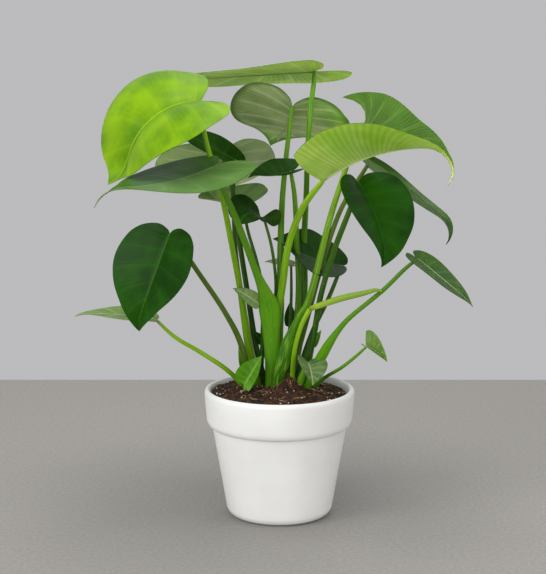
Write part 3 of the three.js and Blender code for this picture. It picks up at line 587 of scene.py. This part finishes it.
leafLooks = {
    "limeLeaf": {
        "upper": ("507c00", "7ca402"), "under": ("86b01e", "a9c84a"), "rib": "92b824", "vein": "86ac12",
        "mixes": (0.16, 0.08), "shine": 0.15, "glow": 0.2, "slot": "lime_leaf"},
    "limeFold": {
        "upper": ("2e5000", "446c00"), "under": ("a6c63a", "cde074"), "rib": "d6e6a0", "vein": "b4cc5c",
        "fine": "628a10", "mixes": (0.12, 0.3), "rough": 0.34, "shine": 0.3, "coat": 0.6,
        "glow": 0.45, "slot": "lime_leaf"},
    "heartLeaf": {
        "upper": ("0f3400", "1f5004"), "under": ("4f7638", "6f9256"), "rib": "2f6410", "vein": "2c6210",
        "mixes": (0.12, 0.06), "shine": 0.08, "coat": 0.04, "glow": 0.08, "slot": "dark_leaf"},
    "darkLeaf": {
        "upper": ("0e2c00", "1e4608"), "under": ("244610", "3c6222"), "rib": "2f5a14", "vein": "2a5810",
        "mixes": (0.12, 0.06), "shine": 0.08, "glow": 0.08, "slot": "dark_leaf"},
    "greyLeaf": {
        "upper": ("264610", "426426"), "under": ("5f8240", "86a464"), "rib": "8ea468", "vein": "5b8238",
        "mixes": (0.16, 0.12), "rough": 0.46, "coat": 0.05, "glow": 0.15, "slot": "dark_leaf"},
    "shadeLeaf": {
        "upper": ("224a18", "3a6628"), "under": ("8ea66a", "bcca96"), "rib": "a9bf80", "vein": "dde6c8",
        "mixes": (0.4, 0.24), "rough": 0.5, "glow": 0.5, "slot": "pale_leaf"},
    "backLeaf": {
        "upper": ("285414", "3f7222"), "under": ("7f9a48", "c6d692"), "rib": "9cc44c", "vein": "e6eccc",
        "mixes": (0.5, 0.26), "rough": 0.5, "glow": 0.5, "margin": (0.9, 0.65, "2c5408"),
        "slot": "pale_leaf"},
    "highLeaf": {
        "upper": ("356618", "4d8426"), "under": ("98ac3a", "c4cc66"), "rib": "7a9c2c", "vein": "e2e8b4",
        "mixes": (0.35, 0.26), "rough": 0.48, "glow": 0.6, "slot": "pale_leaf"},
    # the upper colours here are a painted grey sheen, and the far half colour puts the leaf's own dark green
    # back over the far half, so only the near half keeps the painted sheen
    "sheenFlatLeaf": {
        "upper": ("426628", "587c3c"), "under": ("5f8240", "86a464"), "rib": "86a05c", "vein": "6c9048",
        "mixes": (0.16, 0.1), "shine": 0.14, "coat": 0.04, "glow": 0.15, "farHalfNoSheen": "22500a",
        "slot": "dark_leaf"},
    "smallPaleLeaf": {
        "upper": ("5a783c", "86a066"), "under": ("7c965c", "a4b888"), "rib": "a8bc8c", "vein": "a4b888",
        "mixes": (0.25, 0.1), "rough": 0.48, "glow": 0.3, "slot": "pale_leaf"},
    "lowLeaf": {
        "upper": ("628038", "80a050"), "under": ("86a058", "a9be7c"), "rib": "b8cc8c", "vein": "aebf84",
        "mixes": (0.3, 0.14), "rough": 0.45, "glow": 0.4, "slot": "lime_leaf"},
    "sproutLeaf": {
        "upper": ("3a7404", "66a410"), "under": ("5a8430", "7aa244"), "rib": "8cbc40", "vein": "74ac34",
        "mixes": (0.2, 0.08), "rough": 0.3, "shine": 0.4, "coat": 0.4, "glow": 0.25,
        "slot": "bright_leaf"},
    "tipLeaf": {
        "upper": ("34581c", "7f9a5a"), "under": ("587838", "90a86c"), "rib": "b0c08c", "vein": "9cb07a",
        "mixes": (0.3, 0.2), "rough": 0.45, "coat": 0.05, "glow": 0.2, "slot": "bright_leaf"}}

# noSheenMix is how much of the painted sheen the far half of a sheened leaf loses
skinForm = {"waver": 18, "veinWaver": 0.25, "fineVeins": 6, "fineSlant": 2.4, "cloud": 26, "speck": 620,
            "ribHalf": 0.17, "ribCore": 0.05, "ribMix": 0.75, "noSheenMix": 0.75, "plainMargin": (0.09, 0.45),
            "underRough": 0.12, "bump": 0.0004}


def leafPaint(name, look):
    look = {**plainLook, **look}
    paint = Paint(name, **{
        "Roughness": look["rough"], "IOR": 1.42, "Specular IOR Level": look["shine"],
        "Coat Weight": look["coat"], "Coat Roughness": 0.16, "Subsurface Weight": look["glow"],
        "Subsurface Radius": (0.6, 1.0, 0.15), "Subsurface Scale": 0.003})
    # leafMap holds a place along the leaf, with 2 added below, and a place across it, 0.5 at the midrib
    share, signed = paint.mapPair("leafMap")
    ribFar, edgeFar = paint.mapPair("leafSize")
    under = share > 1.5
    row = share - under * 2
    k = paint.maths("ABSOLUTE", signed * 2 - 1)
    bend = paint.grain(skinForm["waver"], 2) * 0.5
    veinAt = row * bladeForm["veins"] - k * bladeForm["veinSlant"] + bend * skinForm["veinWaver"]
    crest = paint.maths("COSINE", veinAt * (2 * math.pi)) * 0.5 + 0.5
    vein = paint.eased(crest, 0.86, 1.0) * paint.eased(k, 1.0, 0.75)
    fineAt = row * (bladeForm["veins"] * skinForm["fineVeins"]) - k * skinForm["fineSlant"] + bend
    fine = paint.maths("COSINE", fineAt * (2 * math.pi)) * 0.5 + 0.5
    rib = paint.eased(ribFar, skinForm["ribHalf"], skinForm["ribCore"])
    cloud = paint.eased(paint.grain(skinForm["cloud"], 4), 0.32, 0.68)
    speck = paint.grain(skinForm["speck"], 2)
    calm = paint.eased(row, 0.92, 0.6)
    depth = cloud * 0.85 + crest * 0.15
    top, low = [paint.mixed(*map(shade, look[face]), depth) for face in ("upper", "under")]
    skin = paint.mixed(top, low, under)
    skin = paint.mixed(skin, shade(look["vein"]), vein * look["mixes"][0])
    skin = paint.mixed(skin, shade(look.get("fine", look["vein"])), fine * calm * look["mixes"][1])
    skin = paint.mixed(skin, shade(look["rib"]), rib * skinForm["ribMix"])
    # painted sheen on one half: the far half is mixed back to the plain dark green, which leaves the painted
    # grey sheen on the near half
    if "farHalfNoSheen" in look:
        far = paint.eased(signed, 0.505, 0.495)
        skin = paint.mixed(skin, shade(look["farHalfNoSheen"]), far * skinForm["noSheenMix"])
    reach, strength, rim = look.get("margin", (*skinForm["plainMargin"], look["upper"][0]))
    skin = paint.mixed(skin, shade(rim), paint.eased(edgeFar, reach, 0.02) * strength)
    paint.feed("Base Color", skin)
    rough = paint.eased(speck * 0.5 + cloud * 0.5, 0.2, 0.8, look["rough"] - 0.05, look["rough"] + 0.1)
    paint.feed("Roughness", rough + under * skinForm["underRough"])
    relief = rib * -0.9 - vein * 0.8 - fine * calm * 0.18
    paint.bump((1 - under * 2) * relief + speck * 0.2, 0.5, skinForm["bump"])
    return paint


leafPaints = {name: leafPaint(name, look) for name, look in leafLooks.items()}
print("leaf finishes made")

stalkLooks = {
    "limeStalk": {"tones": ("4f7c0c", "76a80c", "94c024"), "slot": "lime_stem"},
    "brightSheath": {"tones": ("4a8608", "5c9a0c", "56841c"), "slot": "bright_leaf"},
    "limeOnSheath": {"tones": ("285804", "3f7808", "8cb82c"), "slot": "lime_stem"},
    "darkStalk": {"tones": ("244a0c", "2c5410", "4c741c"), "slot": "dark_stem"},
    "midStalk": {"tones": ("34640c", "46780c", "6ca020"), "slot": "mid_stem"},
    "oliveStalk": {"tones": ("38580c", "4a6418", "66802c"), "slot": "mid_stem"},
    "rollStalk": {"tones": ("a4c03c", "86a83c", "7ca02c"), "slot": "lime_leaf"}}


def stalkPaint(name, look):
    # fine streaks along the stem, a few pale dots, and a colour that changes from the foot to the top
    foot, middle, top = look["tones"]
    paint = Paint(name, **{"Roughness": 0.42, "IOR": 1.42, "Specular IOR Level": 0.22})
    along = paint.mapPair("stalkMap")[1]
    girth, run = paint.mapPair("stalkSize")
    stripes = paint.node("ShaderNodeCombineXYZ", {}, {"X": girth * 9, "Y": run * 0.35})
    streak = paint.node("ShaderNodeTexNoise", {"noise_dimensions": "2D"},
                        {"Vector": stripes, "Scale": 1.0, "Detail": 3.0, "Roughness": 0.6})
    cloud = paint.grain(30, 3)
    dots = paint.eased(paint.grain(900, 1), 0.66, 0.74)
    stops = [(0.0, shade(foot, 0.55)), (0.1, shade(foot)), (0.45, shade(middle)), (1.0, shade(top))]
    skin = paint.node("ShaderNodeValToRGB", {"stops": stops}, {"Fac": along + (cloud - 0.5) * 0.12})
    skin = paint.mixed(skin, shade(foot, 0.7), paint.eased(streak, 0.5, 0.72) * 0.5)
    skin = paint.mixed(skin, shade(top, 1.15), paint.eased(streak, 0.5, 0.3) * 0.45)
    skin = paint.mixed(skin, shade("c8dc9c"), dots * 0.18)
    paint.feed("Base Color", skin)
    paint.feed("Roughness", paint.eased(streak, 0.25, 0.75, 0.34, 0.5))
    paint.bump(streak + dots * 0.2, 0.35, 0.0005)
    return paint


stalkPaints = {name: stalkPaint(name, look) for name, look in stalkLooks.items()}

stemForm = {"depthLimit": 3.4, "depthGrowth": 0.12, "dome": 0.5, "domeStep": 0.03, "sides": 16, "ringGap": 4,
            "leastRings": 10, "step": 0.02, "grooveDepth": 0.16, "grooveAt": 1.2, "grooveHalf": 0.35}


def stemMesh(path):
    # oval rings, wide across the view, with a shallow groove, and a shallow dome at each end
    sides = stemForm["sides"]
    length = sum((Vector(b[:3]) - Vector(a[:3])).length for a, b in zip(path, path[1:]))
    rings = max(int(length / stemForm["ringGap"]), stemForm["leastRings"])
    points, stalkMap, sizeMap = [], [], []
    view = Vector((0, -1, 0))
    for ring in range(rings + 1):
        share = ring / rings
        x, y, z, half = alongPath(path, share)
        ahead = Vector(alongPath(path, min(share + stemForm["step"], 1))[:3])
        ahead -= Vector(alongPath(path, max(share - stemForm["step"], 0))[:3])
        ahead.normalize()
        wide = ahead.cross(view).normalized()
        deep = wide.cross(ahead).normalized()
        depth = min(half, stemForm["depthLimit"] + stemForm["depthGrowth"] * half)
        for i in range(sides):
            angle = 2 * math.pi * i / sides
            hollow = math.exp(-((angle - stemForm["grooveAt"]) / stemForm["grooveHalf"]) ** 2)
            groove = 1 - stemForm["grooveDepth"] * hollow
            offset = wide * math.cos(angle) * half * groove + deep * math.sin(angle) * depth * groove
            points.append((Vector((x, y, z)) + offset) * mm)
    girth = 2 * math.pi * path[len(path) // 2][3]
    faces = ringFaces(rings, sides)
    for ring in range(rings):
        for i in range(sides):
            for across, up in ((i, ring), (i + 1, ring), (i + 1, ring + 1), (i, ring + 1)):
                stalkMap.append((across / sides, up / rings))
                sizeMap.append((across / sides * girth / 10, up / rings * length / 10))
    for ring, inner in ((0, stemForm["domeStep"]), (rings, 1 - stemForm["domeStep"])):
        x, y, z, half = alongPath(path, ring / rings)
        along = (Vector((x, y, z)) - Vector(alongPath(path, inner)[:3])).normalized()
        points.append((Vector((x, y, z)) + along * (stemForm["dome"] * half)) * mm)
        for i in range(sides):
            pair = (i, i + 1) if ring else (i + 1, i)
            faces.append([ring * sides + n % sides for n in pair] + [len(points) - 1])
            stalkMap += [(n / sides, ring / rings) for n in pair] + [(0.5, ring / rings)]
            sizeMap += [(n / sides * girth / 10, ring / rings * length / 10) for n in pair]
            sizeMap.append((0, ring / rings * length / 10))
    return points, faces, {"stalkMap": stalkMap, "stalkSize": sizeMap}


for key, record in leaves.items():
    look, stalk = record["look"], record["stalk"]
    grid = bladeForm["bigGrid"] if record["size"][0] > bladeForm["bigLength"] else bladeForm["smallGrid"]
    pieceFrom(snake(key) + "_leaf", [bladeMesh(record, *grid)], [leafPaints[look]],
              [snake(key) + "_blade"])
    parts, paints = [stemMesh(record["stem"])], [stalkPaints[stalk]]
    if "tip" in record:
        parts.append(bladeMesh(record["tip"], *bladeForm["sproutGrid"]))
        paints.append(leafPaints[record["tip"]["look"]])
    pieceFrom(snake(key) + "_stalk", parts, paints, [snake(key) + "_stem"])
print("leaves made,", len(leaves))

for key, record in sprouts.items():
    parts = [stemMesh(record["stem"]), bladeMesh(record, *bladeForm["sproutGrid"])]
    paints = [stalkPaints["midStalk"], leafPaints[record["look"]]]
    pieceFrom(snake(key) + "_leaf", parts, paints, [snake(key)])

pieceFrom("rolled_leaf_stalk", [stemMesh(rolledLeaf["stem"])], [stalkPaints["limeStalk"]],
          ["rolled_leaf_stem"])
pieceFrom("rolled_leaf_roll", [stemMesh(rolledLeaf["roll"])], [stalkPaints["rollStalk"]],
          ["rolled_leaf_blade"])
print("small leaves made")

potForm = {
    "outside": [(0, 0), (44, 0), (48, 0.8), (51, 3), (53, 6.5), (54, 12), (67, 89), (68, 91.5), (71, 93),
                (72.8, 96.5), (74.6, 115), (75, 125), (74.2, 127.8), (72, 129)],
    "inside": [(69.9, 128), (69, 125), (67.4, 98), (62, 88), (48, 12), (43, 8), (0, 8)],
    "segments": 160, "ease": 0.24, "glaze": "e6e6e3", "glazeLight": "efefed", "pitTone": "d8d7d2"}


def easedProfile(profile):
    # each corner becomes a short curve
    made = [profile[0]]
    for before, here, after in zip(profile, profile[1:], profile[2:]):
        a = [h + (b - h) * potForm["ease"] for h, b in zip(here, before)]
        c = [h + (b - h) * potForm["ease"] for h, b in zip(here, after)]
        for t in (0, 0.33, 0.67, 1):
            made.append(tuple((1 - t) ** 2 * u + 2 * t * (1 - t) * v + t * t * w
                              for u, v, w in zip(a, here, c)))
    return made + [profile[-1]]


def spunMesh(profile, segments):
    points = [Vector((0, 0, profile[0][1])) * mm]
    for radius, height in profile[1:-1]:
        points += circlePoints(radius, segments, lambda x, y: height)
    points.append(Vector((0, 0, profile[-1][1])) * mm)
    return points, turnedFaces(len(profile) - 2, segments), {}


potPaint = Paint("whiteGlaze", Roughness=0.4, IOR=1.45)
cloud = potPaint.grain(14, 3)
pits = potPaint.grain(420, 3, 0.6)
skin = potPaint.mixed(shade(potForm["glaze"]), shade(potForm["glazeLight"]), potPaint.eased(cloud, 0.3, 0.7))
skin = potPaint.mixed(skin, shade(potForm["pitTone"]), potPaint.eased(pits, 0.62, 0.78) * 0.35)
potPaint.feed("Base Color", skin)
potPaint.feed("Roughness", potPaint.eased(pits, 0.3, 0.7, 0.34, 0.46))
potPaint.bump(pits, 0.12, 0.0003)
profile = easedProfile(potForm["outside"] + potForm["inside"])
pieceFrom("plant_pot", [spunMesh(profile, potForm["segments"])], [potPaint], ["pot"], sharp=60)
print("pot made")

# crown is the heap's x, y, height and reach, and hollow is a painted shade colour for the low places between
# the crumbs
soilForm = {"edge": 123.5, "tilt": 0.028, "mound": 4.5, "reach": 50, "crown": (8, -10, 16, 14),
            "heapSpread": 7, "grain": 0.8, "fine": 1.1, "rings": 56, "segments": 150, "radius": 67,
            "scatterShare": 0.97, "sides": [(66.2, 108), (61, 90), (46, 14)], "deep": "180c06",
            "light": "4a2c18", "hollow": "150b06"}


def soilTop(x, y, rough=True):
    mound = soilForm["mound"] * math.exp(-(math.hypot(x, y) / soilForm["reach"]) ** 4)
    crownX, crownY, rise, reach = soilForm["crown"]
    crown = rise * math.exp(-(math.hypot(x - crownX, y - crownY) / reach) ** 2)
    grain = math.sin(0.31 * x + 1.3) * math.cos(0.27 * y) + 0.6 * math.sin(0.53 * x - 0.61 * y)
    height = soilForm["edge"] - soilForm["tilt"] * x + mound + crown + soilForm["grain"] * grain
    if rough:
        height += soilForm["fine"] * noise.fractal(Vector((x, y, 3)) * 0.22, 1.0, 2.1, 4)
    return height


def soilMesh():
    sides = soilForm["segments"]
    points = [Vector((0, 0, soilTop(0, 0))) * mm]
    for ring in range(1, soilForm["rings"] + 1):
        points += circlePoints(soilForm["radius"] * ring / soilForm["rings"], sides, soilTop)
    for radius, height in soilForm["sides"]:
        points += circlePoints(radius, sides, lambda x, y: height)
    points.append(Vector((0, 0, soilForm["sides"][-1][1])) * mm)
    return points, turnedFaces(soilForm["rings"] + len(soilForm["sides"]), sides, True), {}


soilPaint = Paint("pottingSoil", Roughness=0.95)
cloud = soilPaint.grain(90, 5, 0.65)
crumb = soilPaint.grain(420, 4, 0.7)
skin = soilPaint.mixed(shade(soilForm["deep"]), shade(soilForm["light"]), soilPaint.eased(cloud, 0.44, 0.6))
# painted shade: the hollow colour darkens the soil where the crumb bump is low
skin = soilPaint.mixed(skin, shade(soilForm["hollow"]), soilPaint.eased(crumb, 0.52, 0.3) * 0.8)
soilPaint.feed("Base Color", skin)
soilPaint.bump(crumb + cloud, 1.0, 0.0012)
pieceFrom("potting_soil", [soilMesh()], [soilPaint], ["soil"], sharp=75)


def tonedPaint(name, dark, light, rough):
    paint = Paint(name, Roughness=rough)
    tone = paint.grain(120, 2)
    fleck = paint.grain(700, 3)
    skin = paint.mixed(shade(dark), shade(light), paint.eased(tone, 0.35, 0.65))
    skin = paint.mixed(skin, shade(dark, 0.6), paint.eased(fleck, 0.55, 0.75) * 0.5)
    paint.feed("Base Color", skin)
    paint.bump(fleck, 0.5, 0.0004)
    return paint


def scattered(form):
    # places on the soil, clear of the pot's wall, and more of them on the crown
    draw = random.Random(form["seed"])
    for i in range(form["count"] + form["heaped"]):
        far = soilForm["radius"] * soilForm["scatterShare"] * math.sqrt(draw.uniform(0, 1))
        angle = draw.uniform(0, 2 * math.pi)
        x, y = far * math.cos(angle), far * math.sin(angle)
        if i >= form["count"]:
            x, y = [draw.gauss(middle, soilForm["heapSpread"]) for middle in soilForm["crown"][:2]]
        yield draw, x, y, soilTop(x, y)


def lumpMesh(centre, size, draw, around):
    # a little uneven lump
    turn = draw.uniform(0, 6.28)
    points, down = [], 4
    for row in range(down + 1):
        for i in range(around):
            tall = math.pi * row / down
            angle = turn + 2 * math.pi * i / around
            push = draw.uniform(0.75, 1.15)
            way = (math.sin(tall) * math.cos(angle), math.sin(tall) * math.sin(angle), math.cos(tall))
            points.append((Vector(centre) + Vector([w * s * push for w, s in zip(way, size)])) * mm)
    return points, ringFaces(down, around, inward=True), {}


def strandMesh(path, radius, sides):
    # a thin strand that narrows to both ends
    points = []
    for n, here in enumerate(path):
        ahead = path[min(n + 1, len(path) - 1)] - path[max(n - 1, 0)]
        wide = ahead.cross(Vector((0, 0, 1)))
        wide = wide.normalized() if wide.length > 1e-6 else Vector((1, 0, 0))
        deep = wide.cross(ahead).normalized()
        thin = radius * (1 - 0.6 * abs(2 * n / (len(path) - 1) - 1))
        for i in range(sides):
            angle = 2 * math.pi * i / sides
            points.append((here + wide * math.cos(angle) * thin + deep * math.sin(angle) * thin) * mm)
    return points, tubeFaces(len(path) - 1, sides), {}


def lumpParts(form):
    for draw, x, y, z in scattered(form):
        size = draw.uniform(*form["size"])
        box = (size, size * draw.uniform(form["narrow"], 1), size * form["tall"])
        yield lumpMesh((x, y, z + size * form["lift"]), box, draw, form["around"])


def chipParts(form):
    for draw, x, y, z in scattered(form):
        turn = draw.uniform(0, math.pi)
        long, wide, tilt = [draw.uniform(*form[key]) for key in ("long", "wide", "tilt")]
        along = Vector((math.cos(turn), math.sin(turn), tilt)) * long / 2
        middle = Vector((x, y, z + 0.5))
        path = [middle - along, middle - along * 0.4, middle + along * 0.5, middle + along]
        yield strandMesh(path, wide * 0.6, 5)


def fibreParts(form):
    last = form["points"] - 1
    for draw, x, y, z in scattered(form):
        turn = draw.uniform(0, 2 * math.pi)
        long = draw.uniform(*form["long"])
        path = []
        for n in range(last + 1):
            turn += draw.uniform(*form["bend"])
            px = x + math.cos(turn) * long * (n / last - 0.5)
            py = y + math.sin(turn) * long * (n / last - 0.5)
            if math.hypot(px, py) > soilForm["radius"] - 1:
                break
            path.append(Vector((px, py, soilTop(px, py, False) + 0.9 + draw.uniform(0, 0.8))))
        if len(path) > last:
            yield strandMesh(path, draw.uniform(*form["thick"]), 4)


# What lies on the soil. One part in every few takes the second of the two finishes.
scatterForms = {
    "soil_crumbs": {
        "maker": lumpParts, "seed": 11, "count": 900, "heaped": 260, "size": (0.5, 1.5), "narrow": 0.6,
        "tall": 0.7, "lift": 0.3, "around": 5, "every": 3, "rough": 0.95,
        "tones": [("darkCrumb", "1f120a", "4a2e1a"), ("rustCrumb", "3a2011", "6b4226")]},
    "bark_chips": {
        "maker": chipParts, "seed": 23, "count": 240, "heaped": 0, "long": (1.6, 5.5), "wide": (0.5, 1.3),
        "tilt": (-0.5, 0.5), "every": 4, "rough": 0.9,
        "tones": [("barkBrown", "3a2012", "7a4c2c"), ("barkTan", "6e4a2c", "b08660")]},
    "coir_fibres": {
        "maker": fibreParts, "seed": 37, "count": 150, "heaped": 65, "long": (4, 13), "thick": (0.16, 0.34),
        "points": 6, "bend": (-0.25, 0.25), "every": 3, "rough": 0.9,
        "tones": [("coirBrown", "5a3820", "8f6238"), ("coirStraw", "8a6a40", "c0a070")]},
    "white_grains": {
        "maker": lumpParts, "seed": 51, "count": 95, "heaped": 0, "size": (0.5, 1.25), "narrow": 0.7,
        "tall": 0.8, "lift": 0.4, "around": 6, "every": 3, "rough": 0.85,
        "tones": [("whiteGrain", "c8bfae", "efe9dc"), ("creamGrain", "b09a78", "dccdb0")]}}

for name, form in scatterForms.items():
    paints = [tonedPaint(*tone, form["rough"]) for tone in form["tones"]]
    pieceFrom(name, list(form["maker"](form)), paints, [], sharp=40,
              paintOf=lambda part: part % form["every"] == 0)
print("soil made")

stageForm = {"floor": "8e8b86", "floorHalf": 4, "floorBack": 0.587, "wall": (0.5, 0.5, 0.51, 1)}
floorPaint = Paint("plainFloor", Roughness=0.7)
speck = floorPaint.grain(260, 3)
skin = floorPaint.mixed(shade(stageForm["floor"], 0.93), shade(stageForm["floor"], 1.07),
                        floorPaint.eased(speck, 0.35, 0.65))
floorPaint.feed("Base Color", skin)
floorMesh = bpy.data.meshes.new("floor")
half, back = stageForm["floorHalf"], stageForm["floorBack"]
corners = [(-half, -half, 0), (half, -half, 0), (half, back, 0), (-half, back, 0)]
floorMesh.from_pydata(corners, [], [(0, 1, 2, 3)])
floorMesh.materials.append(floorPaint.material)
floor = bpy.data.objects.new("floor", floorMesh)
bpy.context.scene.collection.objects.link(floor)

world = bpy.data.worlds.new("studio")
bpy.context.scene.world = world
world.use_nodes = True
background = world.node_tree.nodes["Background"]
background.inputs["Color"].default_value = stageForm["wall"]
background.inputs["Strength"].default_value = 1.0

lamps = {
    "key": {"from": (-1.7, -1.3, 1.3), "size": 1.4, "power": 24},
    "front": {"from": (-0.5, -2.2, 0.7), "size": 1.8, "power": 20},
    "right": {"from": (1.8, -0.8, 0.7), "size": 1.4, "power": 8},
    "top": {"from": (0.1, -0.1, 2.1), "size": 1.4, "power": 22},
    "back": {"from": (0.5, 1.5, 1.9), "size": 1.4, "power": 6}}
lampAim = Vector((0, 0, 0.25))
for name, lamp in lamps.items():
    light = bpy.data.lights.new(name, "AREA")
    light.shape = "DISK"
    light.size = lamp["size"]
    light.energy = lamp["power"]
    holder = bpy.data.objects.new(name, light)
    holder.location = lamp["from"]
    holder.rotation_euler = (lampAim - holder.location).to_track_quat("-Z", "Y").to_euler()
    bpy.context.scene.collection.objects.link(holder)

eye = {"place": (-0.0065, -1.5, 0.486), "down": 9.65, "lens": 96.33, "sensor": 36}
camera = bpy.data.cameras.new("eye")
camera.lens = eye["lens"]
camera.sensor_width = eye["sensor"]
holder = bpy.data.objects.new("eye", camera)
holder.location = eye["place"]
holder.rotation_euler = (math.radians(90 - eye["down"]), 0, 0)
bpy.context.scene.collection.objects.link(holder)
bpy.context.scene.camera = holder
bpy.context.scene.view_settings.view_transform = "Standard"
print("stage, lights and camera made")
